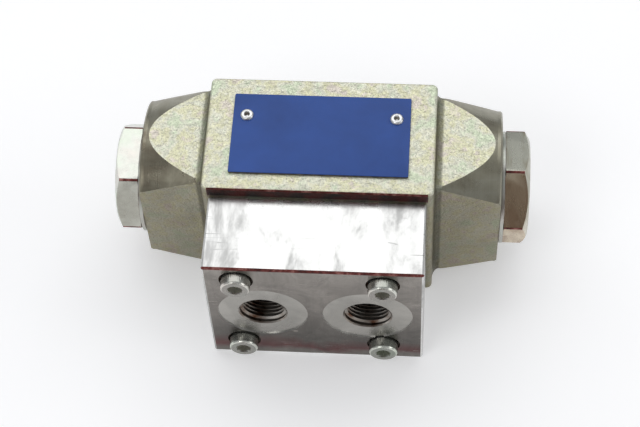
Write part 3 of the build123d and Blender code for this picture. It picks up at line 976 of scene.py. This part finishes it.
def make_body():
    """Valve body as one shape."""
    sizes = bpy.context.scene.block_body
    bores = bpy.context.scene.block_bores
    ports = bpy.context.scene.block_ports
    box = cuboid((-sizes.box_half, BODY_LOW.y, BODY_LOW.z), (sizes.box_half, BODY_HIGH.y, BODY_HIGH.z))
    bevel(box, lambda place, way: abs(way.z) > 0.9, sizes.corner, 8)
    bevel(box, lambda place, way: place.z > BODY_HIGH.z - 1e-6, sizes.edge, 8)
    bevel(box, lambda place, way: place.z < BODY_LOW.z + 1e-6, sizes.edge / 2, 1)
    end = combine(wing_with_shoulder(), turned_envelope(), "INTERSECT")
    body = combine(box, join(mirrored(end), end), "UNION")
    body = combine(body, spool_bore(), "DIFFERENCE")
    tank = MOUNTS["port_tank"]
    cutters = port_bore(
        tank,
        BODY_HIGH.y - ports.spotface_depth,
        BODY_HIGH.y + REACH,
        ports.tank_spotface,
        ports.tank_mouth,
        ports.tank_reach,
        ports.tank_depth,
        bores.tank_passage,
        bores.bore / 2,
    )
    for side in ("left", "right"):
        port = MOUNTS["port_" + side]["pos_m"]
        centre = Vector((port[0], 0, port[2]))
        join(cutters, rod(centre, ALONG_Y, BODY_LOW.y - REACH, -bores.bore / 2, bores.passage))
    for node in SCREW_NODES:
        low, high = BOXES[node]
        centre = Vector(((low.x + high.x) / 2, 0, (low.z + high.z) / 2))
        join(cutters, rod(centre, ALONG_Y, BODY_LOW.y - REACH, high.y + 2 * REACH, bores.screw_tap))
    for node in RIVET_NODES:
        middle = MIDDLES[node]
        centre = Vector((middle.x, middle.y, 0))
        low = BOXES[node][0].z
        radius = bpy.context.scene.block_fasteners.rivet_shank * 1.03
        join(cutters, rod(centre, ALONG_Z, low - REACH / 8, BODY_HIGH.z + REACH, radius, 24))
    core = MOUNTS["base_holes"]["dims"]["hole_r_mm"] / 1000
    root = core + ports.base_thread
    for centre in base_places():
        mouth = root + ports.base_thread / 2
        profile = [
            (-REACH, 0),
            (-REACH, mouth),
            (0, mouth),
            (mouth - root, root),
            (ports.base_depth, root),
            (ports.base_depth + core / 2, 0),
        ]
        join(cutters, turned(profile, centre, ALONG_Z, 36))
    body = combine(body, cutters, "DIFFERENCE")
    for centre in base_places():
        join(body, thread(centre, ALONG_Z, 0.0004, ports.base_depth, root, ports.base_thread, ports.base_pitch, 24))
    centre = Vector((0, 0, tank["pos_m"][2]))
    core = tank["dims"]["r_mm"] / 1000
    floor = BODY_HIGH.y - ports.spotface_depth
    end = floor - ports.tank_mouth / 2
    start = floor - ports.tank_reach
    join(body, thread(centre, ALONG_Y, start, end, core + ports.tank_depth, ports.tank_depth, ports.tank_pitch))
    return body


def body_material(place, normal):
    """Cast, turned or bored surface at a place of the body."""
    sizes = bpy.context.scene.block_body
    bores = bpy.context.scene.block_bores
    ports = bpy.context.scene.block_ports
    out = math.hypot(place.y, place.z - AXIS_POINT.z)
    along = abs(place.x)
    # The front face above the port block takes painted reflected shade, and its top front edge a painted red-brown
    # reflection.
    if place.y < BODY_LOW.y + sizes.edge and along < sizes.box_half - sizes.corner:
        if normal.y < -0.9 and place.y < BODY_LOW.y + 1e-5:
            return 4
        if normal.y < -0.55 and place.z > BODY_HIGH.z - sizes.edge - 1e-5:
            return 5
    if out < bores.plug_thread + bores.mouth:
        if along > BODY_HIGH.x - 1e-5:
            return 1
        spotface = BODY_HIGH.y - ports.spotface_depth
        if BODY_LOW.y + 1e-5 < place.y < spotface - 1e-5:
            return 2
        if along < ports.tank_spotface and place.y > 0:
            return 3 if normal.y > 0.9 else 0
    if along > sizes.box_half + sizes.shoulder + 1e-5:
        if out > cone_radius(along) - 0.00012 or along > BODY_HIGH.x - sizes.chamfer:
            return 1
        return 0
    if place.z < 0.02 and abs(abs(place.x) - 0.022) < 0.005 and abs(abs(place.y) - 0.016) < 0.005:
        return 2
    return 0


class ValveBody(bpy.types.Operator):
    """Builds the valve body with its turned ends, bores and ports."""

    bl_idname = "control_block.valve_body"
    bl_label = "Valve body"

    def execute(self, context):
        makers = (cast_zinc, turned_zinc, bored_steel, faced_steel, joint_face, worn_edge)
        materials = [shared(maker) for maker in makers]
        place_piece("body_casting", make_body(), materials, ["valve_body"], body_material)
        return {"FINISHED"}


# Port block


def make_block():
    """Milled block as one shape."""
    ports = bpy.context.scene.block_ports
    bores = bpy.context.scene.block_bores
    block = cuboid(BLOCK_LOW, BLOCK_HIGH)
    bevel(block, lambda place, way: True, ports.edge, 2)
    floor = BLOCK_LOW.y + ports.spotface_depth
    cutters = bmesh.new()
    for side in ("left", "right"):
        mount = MOUNTS["port_" + side]
        join(
            cutters,
            port_bore(
                mount,
                floor,
                BLOCK_LOW.y - REACH,
                ports.spotface,
                ports.mouth,
                ports.thread_reach,
                ports.thread_depth,
                bores.passage,
                BLOCK_HIGH.y + REACH,
            ),
        )
        centre = Vector((mount["pos_m"][0], 0, mount["pos_m"][2]))
        start = BLOCK_HIGH.y - ports.seal_depth
        end = BLOCK_HIGH.y + REACH
        groove = [
            (start, ports.seal_inner),
            (start, ports.seal_outer),
            (end, ports.seal_outer),
            (end, ports.seal_inner),
        ]
        join(cutters, turned(groove, centre, ALONG_Y, 72, True))
    block = combine(block, cutters, "DIFFERENCE")
    cutters = bmesh.new()
    pocket = BLOCK_LOW.y + ports.counterbore_depth
    for node in SCREW_NODES:
        middle = MIDDLES[node]
        profile = [
            (BLOCK_LOW.y - REACH, 0),
            (BLOCK_LOW.y - REACH, ports.counterbore),
            (pocket, ports.counterbore),
            (pocket, ports.screw_hole),
            (BLOCK_HIGH.y + REACH, ports.screw_hole),
            (BLOCK_HIGH.y + REACH, 0),
        ]
        join(cutters, turned(profile, Vector((middle.x, 0, middle.z)), ALONG_Y, 72))
    block = combine(block, cutters, "DIFFERENCE")
    for side in ("left", "right"):
        mount = MOUNTS["port_" + side]
        centre = Vector((mount["pos_m"][0], 0, mount["pos_m"][2]))
        core = mount["dims"]["r_mm"] / 1000
        start = floor + ports.mouth / 2
        end = floor + ports.thread_reach
        root = core + ports.thread_depth
        join(block, thread(centre, ALONG_Y, start, end, root, ports.thread_depth, ports.thread_pitch, 48))
    return block


def block_material(place, normal):
    """Milled, faced or bored surface at a place of the block."""
    ports = bpy.context.scene.block_ports
    port = Vector(MOUNTS["port_right"]["pos_m"])
    out = math.hypot(abs(place.x) - port.x, place.z - port.z)
    core = MOUNTS["port_right"]["dims"]["r_mm"] / 1000
    if out < core + ports.mouth and BLOCK_LOW.y + 1e-5 < place.y:
        spotface = BLOCK_LOW.y + ports.spotface_depth
        if abs(place.y - spotface) < 1e-5 and normal.y < -0.9:
            return 1
        return 2
    if out < ports.spotface + 1e-4 and place.y < BLOCK_LOW.y + ports.spotface_depth + 1e-5:
        return 1 if normal.y < -0.9 else 0
    # Painted shade: the counterbores take the dark steel.
    for node in SCREW_NODES:
        middle = MIDDLES[node]
        if math.hypot(place.x - middle.x, place.z - middle.z) < ports.counterbore + 1e-5:
            return 2
    # The front face takes painted shade, and its top front chamfer a painted red-brown reflection.
    if normal.y < -0.9 and place.y < BLOCK_LOW.y + 1e-5:
        return 3
    if place.y < BLOCK_LOW.y + ports.edge and place.z > BLOCK_HIGH.z - ports.edge:
        return 4
    return 0


class PortBlock(bpy.types.Operator):
    """Builds the milled block with its spotfaces, threads and counterbores."""

    bl_idname = "control_block.port_block"
    bl_label = "Port block"

    def execute(self, context):
        makers = (milled_steel, faced_steel, bored_steel, stained_steel, worn_edge)
        materials = [shared(maker) for maker in makers]
        place_piece("milled_port_block", make_block(), materials, ["port_block"], block_material)
        return {"FINISHED"}


# Cap screws


def make_screw(centre):
    """Cap screw with a knurled head and a hexagon socket."""
    sizes = bpy.context.scene.block_fasteners
    ports = bpy.context.scene.block_ports
    bores = bpy.context.scene.block_bores
    low, high = BOXES[SCREW_NODES[0]]
    pocket = -(BLOCK_LOW.y + ports.counterbore_depth)
    top = -low.y
    tip = -high.y
    thin = bores.screw_tap - 0.00005
    profile = [
        (tip, 0),
        (tip, thin * 0.85),
        (tip + 0.0006, thin),
        (-BODY_LOW.y, thin),
        (-BODY_LOW.y, sizes.shank),
        (pocket, sizes.shank),
        (pocket, sizes.head * 0.96),
        (pocket + 0.0003, sizes.head),
        (top - sizes.head_edge * 1.4, sizes.head),
        (top - sizes.head_edge, sizes.head * 0.985),
        (top - sizes.head_edge * 0.35, sizes.head - sizes.head_edge * 0.45),
        (top, sizes.head - sizes.head_edge),
        (top, 0),
    ]
    steps = 2 * sizes.knurl_count
    screw = turned(profile, centre, -ALONG_Y, steps)
    for vert in screw.verts:
        out = Vector((vert.co.x - centre.x, vert.co.z - centre.z))
        if abs(out.length - sizes.head) < 1e-6:
            index = round((math.atan2(out.x, out.y) % FULL_TURN) / FULL_TURN * steps)
            if index % 2:
                out *= 1 - sizes.knurl_depth / sizes.head
                vert.co.x = centre.x + out.x
                vert.co.z = centre.z + out.y
    corner = sizes.socket / 2 / math.cos(math.pi / 6)
    socket = bmesh.new()
    bmesh.ops.create_cone(
        socket,
        cap_ends=True,
        segments=6,
        radius1=corner,
        radius2=corner,
        depth=2 * sizes.socket_depth,
        matrix=Matrix.Translation((centre.x, -top, centre.z)) @ Matrix.Rotation(math.radians(90), 4, "X"),
    )
    screw = combine(screw, socket, "DIFFERENCE")
    flat = sizes.socket / 2
    low_cut = top - 0.0005
    mouth = turned(
        [(low_cut, 0), (low_cut, flat), (top + REACH, flat + REACH + 0.0005), (top + REACH, 0)],
        centre,
        -ALONG_Y,
        48,
    )
    screw = combine(screw, mouth, "DIFFERENCE")
    floor = top - sizes.socket_depth
    drill = turned([(floor - 0.0008, 0), (floor + 0.0001, corner * 0.8), (floor + 0.0001, 0)], centre, -ALONG_Y, 36)
    return combine(screw, drill, "DIFFERENCE")


def screw_material(place, normal):
    """Plating on the top of the head, on its side, in its socket and on its edge."""
    sizes = bpy.context.scene.block_fasteners
    out = min(math.hypot(place.x - MIDDLES[node].x, place.z - MIDDLES[node].z) for node in SCREW_NODES)
    if out < sizes.socket / math.sqrt(3) + 1e-5 and place.y > SCREW_TOP + 0.0006:
        return 2
    # The top of the head is painted dark as reflected shade; its edge keeps brighter plating.
    if place.y < SCREW_TOP + sizes.head_edge * 1.2 and normal.y < -0.3:
        return 3 if out > sizes.head - sizes.head_edge else 0
    return 1


class CapScrews(bpy.types.Operator):
    """Builds the four socket head cap screws."""

    bl_idname = "control_block.cap_screws"
    bl_label = "Cap screws"

    def execute(self, context):
        for node in SCREW_NODES:
            middle = MIDDLES[node]
            shape = make_screw(Vector((middle.x, 0, middle.z)))
            name = node.replace("cap_screw", "socket_screw")
            materials = [shared(maker) for maker in (screw_top, screw_side, screw_socket, screw_rim)]
            place_piece(name, shape, materials, [node], screw_material, 28)
        return {"FINISHED"}


# End plugs and their washers


def make_plug(side, angle):
    """Hexagon end plug with its shank and hollow."""
    sizes = bpy.context.scene.block_fasteners
    low, high = BOXES["end_plug_right"]
    corner = sizes.hexagon / 2 / math.cos(math.pi / 6)
    head_end = high.x
    head = bmesh.new()
    middle = (sizes.head_start + head_end) / 2
    bmesh.ops.create_cone(
        head,
        cap_ends=True,
        segments=6,
        radius1=corner,
        radius2=corner,
        depth=head_end - sizes.head_start,
        matrix=Matrix.Translation((middle, 0, AXIS_POINT.z))
        @ Matrix.Rotation(angle, 4, "X")
        @ Matrix.Rotation(math.radians(90), 4, "Y"),
    )
    bevel(head, lambda place, way: abs(way.x) > 0.9, sizes.hexagon_edge, 3)
    crown = sizes.hexagon_crown
    edge = 0.0003
    wide = 1.2 * corner
    slope = math.tan(math.radians(30))
    envelope = [
        (sizes.head_start, 0),
        (sizes.head_start, corner - 0.0012),
        (sizes.head_start + 0.0008, wide),
        (head_end - (wide - crown) * slope, wide),
        (head_end - edge * 0.45, crown + edge * 0.5),
        (head_end, crown - edge),
        (head_end, 0),
    ]
    head = combine(head, turned(envelope, AXIS_POINT, ALONG_X, 144), "INTERSECT")
    bores = bpy.context.scene.block_bores
    thread_start = BODY_HIGH.x - bores.plug_depth + 0.0001
    shank = bores.plug_thread - 0.0001
    nose = bores.groove - 0.0003
    profile = [
        (sizes.plug_floor, 0),
        (sizes.plug_floor, sizes.plug_bore),
        (low.x, sizes.plug_bore),
        (low.x, nose),
        (thread_start, nose),
        (thread_start, shank),
        (sizes.head_start - 0.003, shank),
        (sizes.head_start - 0.003, shank - 0.0008),
        (sizes.head_start + 0.0005, shank - 0.0008),
        (sizes.head_start + 0.0005, 0),
    ]
    plug = combine(head, turned(profile, AXIS_POINT, ALONG_X, 96), "UNION")
    return plug if side > 0 else mirrored(plug)


def plug_material(place, normal):
    """Plating, a painted red-brown reflection on the corners of the hexagon, or the turned outer face."""
    sizes = bpy.context.scene.block_fasteners
    out = math.hypot(place.y, place.z - AXIS_POINT.z)
    if abs(normal.x) > 0.99 and abs(place.x) > BOXES["end_plug_right"][1].x - 1e-5:
        return 2
    return 1 if abs(normal.x) < 0.1 and out > sizes.hexagon / math.sqrt(3) - 0.0006 else 0


class EndPlugs(bpy.types.Operator):
    """Builds the two hexagon end plugs."""

    bl_idname = "control_block.end_plugs"
    bl_label = "End plugs"

    def execute(self, context):
        sizes = context.scene.block_fasteners
        for name, side, angle in (("left", -1, sizes.left_turn), ("right", 1, sizes.right_turn)):
            shape = make_plug(side, angle)
            plating = plug_plating if side < 0 else plug_dull
            materials = [shared(plating), shared(worn_edge), shared(plug_face)]
            node = "end_plug_" + name
            place_piece("hexagon_plug_" + name, shape, materials, [node], plug_material)
        return {"FINISHED"}


class SealWashers(bpy.types.Operator):
    """Builds the two seal washers with their rubber lips."""

    bl_idname = "control_block.seal_washers"
    bl_label = "Seal washers"

    def execute(self, context):
        sizes = context.scene.block_fasteners
        low, high = BOXES["plug_seal_right"]
        outer = high.y
        edge = 0.0003
        lip = 0.0001
        inner = context.scene.block_bores.plug_thread + 0.0003
        rubber = sizes.rubber
        profile = [
            (low.x, rubber),
            (low.x, outer - edge),
            (low.x + edge * 0.3, outer - edge * 0.3),
            (low.x + edge, outer),
            (high.x - edge, outer),
            (high.x - edge * 0.3, outer - edge * 0.3),
            (high.x, outer - edge),
            (high.x, rubber),
            (high.x - lip, rubber - lip),
            (high.x - 4 * lip, inner),
            (low.x + 4 * lip, inner),
            (low.x + lip, rubber - lip),
        ]

        def ring_material(place, normal):
            out = math.hypot(place.y, place.z - AXIS_POINT.z)
            # Painted shade: the outer edges take the dark steel for the seam between the parts.
            if out > outer - edge and abs(normal.x) > 0.3:
                return 2
            return 1 if out < rubber else 0

        for name in ("left", "right"):
            shape = turned(profile, AXIS_POINT, ALONG_X, 96, True)
            if name == "left":
                shape = mirrored(shape)
            materials = [shared(washer_zinc), shared(black_rubber), shared(bored_steel)]
            node = "plug_seal_" + name
            place_piece("bonded_washer_" + name, shape, materials, [node], ring_material, 50)
        return {"FINISHED"}


# Name plate and rivets


class NamePlate(bpy.types.Operator):
    """Builds the bare name plate."""

    bl_idname = "control_block.name_plate"
    bl_label = "Name plate"

    def execute(self, context):
        sizes = context.scene.block_fasteners
        plate = cuboid(PLATE_LOW, PLATE_HIGH)
        bevel(plate, lambda place, way: abs(way.z) > 0.9, sizes.plate_corner, 6)
        bevel(plate, lambda place, way: place.z > PLATE_HIGH.z - 1e-6, sizes.plate_edge, 3)
        cutters = bmesh.new()
        for node in RIVET_NODES:
            middle = MIDDLES[node]
            centre = Vector((middle.x, middle.y, 0))
            radius = sizes.rivet_shank * 1.03
            join(cutters, rod(centre, ALONG_Z, PLATE_LOW.z - REACH, PLATE_HIGH.z + REACH, radius, 24))
        plate = combine(plate, cutters, "DIFFERENCE")

        def plate_material(place, normal):
            # Painted shadow: the plate's edges take a dark tone.
            return 0 if normal.z > 0.6 else 1

        materials = [shared(blue_enamel), shared(plate_edge)]
        place_piece("blank_name_plate", plate, materials, ["name_plate"], plate_material, 35)
        return {"FINISHED"}


class Rivets(bpy.types.Operator):
    """Builds the two blind rivets with hollow cores."""

    bl_idname = "control_block.rivets"
    bl_label = "Rivets"

    def execute(self, context):
        sizes = context.scene.block_fasteners
        for node in RIVET_NODES:
            low, high = BOXES[node]
            middle = (low + high) / 2
            radius = (high.x - low.x) / 2
            seat = PLATE_HIGH.z
            rise = high.z - seat
            face = sizes.rivet_face
            core = sizes.rivet_core
            profile = [(low.z, 0), (low.z, sizes.rivet_shank), (seat, sizes.rivet_shank), (seat, radius)]
            for step in range(1, 6):
                share = math.radians(90) * step / 6
                profile.append((seat + rise * math.sin(share) ** 1.2, face + (radius - face) * math.cos(share)))
            profile += [
                (high.z, face * 0.95),
                (high.z, core * 1.35),
                (high.z - 0.0002, core * 1.05),
                (high.z - 0.0006, core),
                (high.z - 0.0018, core),
                (high.z - 0.0016, core * 0.5),
                (high.z - 0.0015, 0),
            ]
            shape = turned(profile, Vector((middle.x, middle.y, 0)), ALONG_Z, 48)
            name = node.replace("plate_rivet", "hollow_rivet")

            def rivet_material(place, normal):
                out = math.hypot(place.x - middle.x, place.y - middle.y)
                # Painted shade: the hollow core takes the dark steel.
                return 1 if out < core * 1.02 and place.z > seat else 0

            materials = [shared(bare_aluminium), shared(bored_steel)]
            place_piece(name, shape, materials, [node], rivet_material, 40)
        return {"FINISHED"}


# Inner pieces


def make_spring():
    """Coil on the plus X side with closed and ground ends."""
    sizes = bpy.context.scene.block_fasteners
    low, high = BOXES["centring_spring_right"]
    start = low.x
    run = high.x - low.x
    closed = 2 * sizes.wire + 0.00015
    shape = bmesh.new()
    made = bmesh.ops.create_circle(
        shape,
        segments=12,
        radius=sizes.wire,
        matrix=Matrix.Translation((start, sizes.coil, AXIS_POINT.z)),
    )
    ring = made["verts"] + shape.edges[:]
    for turns, climb in ((1, closed), (4.5, run - 2 * closed), (1, closed)):
        steps = round(turns * 28)
        made = bmesh.ops.spin(
            shape,
            geom=ring,
            cent=AXIS_POINT,
            axis=ALONG_X,
            dvec=ALONG_X * (climb / steps),
            angle=FULL_TURN * turns,
            steps=steps,
        )
        ring = made["geom_last"]
    for place, way in ((start, -1), (start + run, 1)):
        whole = shape.verts[:] + shape.edges[:] + shape.faces[:]
        bmesh.ops.bisect_plane(
            shape, geom=whole, dist=1e-7, plane_co=(place, 0, 0), plane_no=(way, 0, 0), clear_outer=True
        )
        bmesh.ops.holes_fill(shape, edges=shape.edges)
    bmesh.ops.recalc_face_normals(shape, faces=shape.faces)
    return shape


class Springs(bpy.types.Operator):
    """Builds the two centring springs."""

    bl_idname = "control_block.springs"
    bl_label = "Centring springs"

    def execute(self, context):
        for name, side in (("left", -1), ("right", 1)):
            shape = make_spring()
            if side < 0:
                shape = mirrored(shape)
            piece = as_object(shape, "coil_spring_" + name)
            piece.data.materials.append(shared(spring_metal))
            for polygon in piece.data.polygons:
                polygon.use_smooth = True
            piece.data.set_sharp_from_angle(angle=math.radians(50))
            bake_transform(piece)
            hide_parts("centring_spring_" + name)
        return {"FINISHED"}


class InnerPieces(bpy.types.Operator):
    """Dresses the spool, seats, nozzles and face seals."""

    bl_idname = "control_block.inner_pieces"
    bl_label = "Inner pieces"

    def execute(self, context):
        dress_node("spool", shared(spool_metal))
        for hand in ("left", "right"):
            dress_node("spring_seat_" + hand, shared(seat_metal))
            dress_node("damping_nozzle_" + hand, shared(nozzle_metal))
            dress_node("port_seal_" + hand, shared(black_rubber))
        return {"FINISHED"}


# Stage


def area_lamp(name, place, target, size, power, tone=(1, 1, 1)):
    """Square soft lamp that faces a target."""
    data = bpy.data.lights.new(name, "AREA")
    data.shape = "RECTANGLE"
    data.size, data.size_y = size
    data.energy = power
    data.color = tone
    lamp = bpy.data.objects.new(name, data)
    lamp.location = place
    lamp.rotation_euler = (Vector(target) - Vector(place)).to_track_quat("-Z", "Y").to_euler()
    bpy.context.scene.collection.objects.link(lamp)
    return lamp


def pale_floor():
    """Matt pale floor, white to the camera and in reflections but for the shadow."""
    recipe = Recipe("pale_floor", 0.0, 0.8, finish_tone("floor"))
    base = finish_tone("floor")
    recipe.surface(recipe.ramp(recipe.noise(6, 2), [(0.3, gain(base, 0.985)), (0.7, base)]))
    light = recipe.node("ShaderNodeLightPath").outputs
    seen = recipe.maths("MAXIMUM", light["Is Camera Ray"], light["Is Glossy Ray"])
    seen = recipe.maths("MAXIMUM", seen, light["Is Transmission Ray"])
    recipe.shader.inputs["Emission Color"].default_value = (1, 1, 1, 1)
    recipe.feed(recipe.shader.inputs["Emission Strength"], recipe.maths("MULTIPLY", seen, 0.32))
    return recipe.material


def dark_card():
    """Brown card that stands in front, for the darker tones in the metal."""
    tone = (0.20, 0.15, 0.125)
    recipe = Recipe("dark_card", 0.0, 0.9, tone)
    recipe.surface(recipe.ramp(recipe.noise(3, 2), [(0.3, gain(tone, 0.8)), (0.7, tone)]))
    return recipe.material


def make_camera():
    """Camera at the angle of the photograph."""
    settings = bpy.context.scene.block_camera
    azimuth, elevation, roll = settings.azimuth, settings.elevation, settings.roll
    back = Vector(
        (
            math.sin(azimuth) * math.cos(elevation),
            -math.cos(azimuth) * math.cos(elevation),
            math.sin(elevation),
        )
    )
    level = (-back).cross(ALONG_Z).normalized()
    upright = level.cross(-back)
    right = level * math.cos(roll) + upright * math.sin(roll)
    above = upright * math.cos(roll) - level * math.sin(roll)
    target = Vector((0, -0.028, 0.060))
    place = target + back * settings.distance + right * 0.0004724 - above * 0.0005201
    data = bpy.data.cameras.new("photo_camera")
    data.sensor_width = 36
    data.lens = settings.lens
    data.clip_start = 0.01
    data.clip_end = 20
    camera = bpy.data.objects.new("photo_camera", data)
    axes = Matrix((right, above, back)).transposed()
    camera.matrix_world = Matrix.Translation(place) @ axes.to_4x4()
    bpy.context.scene.collection.objects.link(camera)
    bpy.context.scene.camera = camera


class Stage(bpy.types.Operator):
    """Builds the floor, the lamps, the world and the camera."""

    bl_idname = "control_block.stage"
    bl_label = "Stage"

    def execute(self, context):
        ground = bmesh.new()
        bmesh.ops.create_grid(ground, x_segments=1, y_segments=1, size=20)
        bmesh.ops.translate(ground, verts=ground.verts, vec=(0, 0, -0.0001))
        floor = as_object(ground, "studio_floor")
        floor.data.materials.append(shared(pale_floor))
        card = as_object(cuboid((-0.7, -1.32, 0.12), (0.7, -1.30, 0.95)), "studio_card")
        card.data.materials.append(shared(dark_card))
        card.visible_camera = False
        area_lamp("sky_lamp", (-0.15, 0.76, 1.33), (0, 0, 0.08), (2.2, 1.15), 9.3)
        area_lamp("front_lamp", (-0.6, -0.75, 1.2), (0, 0, 0.03), (0.7, 0.5), 3)
        area_lamp("side_lamp", (1.2, -0.1, 0.7), (0, 0, 0.03), (0.7, 0.6), 2)
        world = bpy.data.worlds.new("studio_world")
        world.use_nodes = True
        sky = world.node_tree.nodes["Background"]
        sky.inputs["Color"].default_value = (0.9, 0.92, 0.95, 1)
        sky.inputs["Strength"].default_value = 0.45
        context.scene.world = world
        context.scene.view_settings.view_transform = "Standard"
        make_camera()
        return {"FINISHED"}


# Panel and registration

OPERATORS = (
    ValveBody,
    PortBlock,
    CapScrews,
    EndPlugs,
    SealWashers,
    NamePlate,
    Rivets,
    Springs,
    InnerPieces,
    Stage,
)
SETTINGS = {
    "block_body": BodySizes,
    "block_bores": BoreSizes,
    "block_ports": PortSizes,
    "block_fasteners": FastenerSizes,
    "block_finishes": Finishes,
    "block_camera": CameraSettings,
}


class ControlBlockPanel(bpy.types.Panel):
    """Lists the pieces of the control block in the sidebar."""

    bl_idname = "VIEW3D_PT_control_block"
    bl_label = "Hydraulic control block"
    bl_space_type = "VIEW_3D"
    bl_region_type = "UI"
    bl_category = "Control block"

    def draw(self, context):
        column = self.layout.column()
        for operator in OPERATORS:
            column.operator(operator.bl_idname)


def register():
    """Registers the settings, operators and panel."""
    for kind in (*SETTINGS.values(), *OPERATORS, ControlBlockPanel):
        bpy.utils.register_class(kind)
    for name, kind in SETTINGS.items():
        setattr(bpy.types.Scene, name, PointerProperty(type=kind))


def unregister():
    """Takes the settings, operators and panel away again."""
    for name in SETTINGS:
        delattr(bpy.types.Scene, name)
    for kind in reversed((*SETTINGS.values(), *OPERATORS, ControlBlockPanel)):
        bpy.utils.unregister_class(kind)


def main():
    """Builds every piece and the stage."""
    register()
    for operator in OPERATORS:
        family, name = operator.bl_idname.split(".")
        getattr(getattr(bpy.ops, family), name)()


if __name__ == "__main__":
    main()
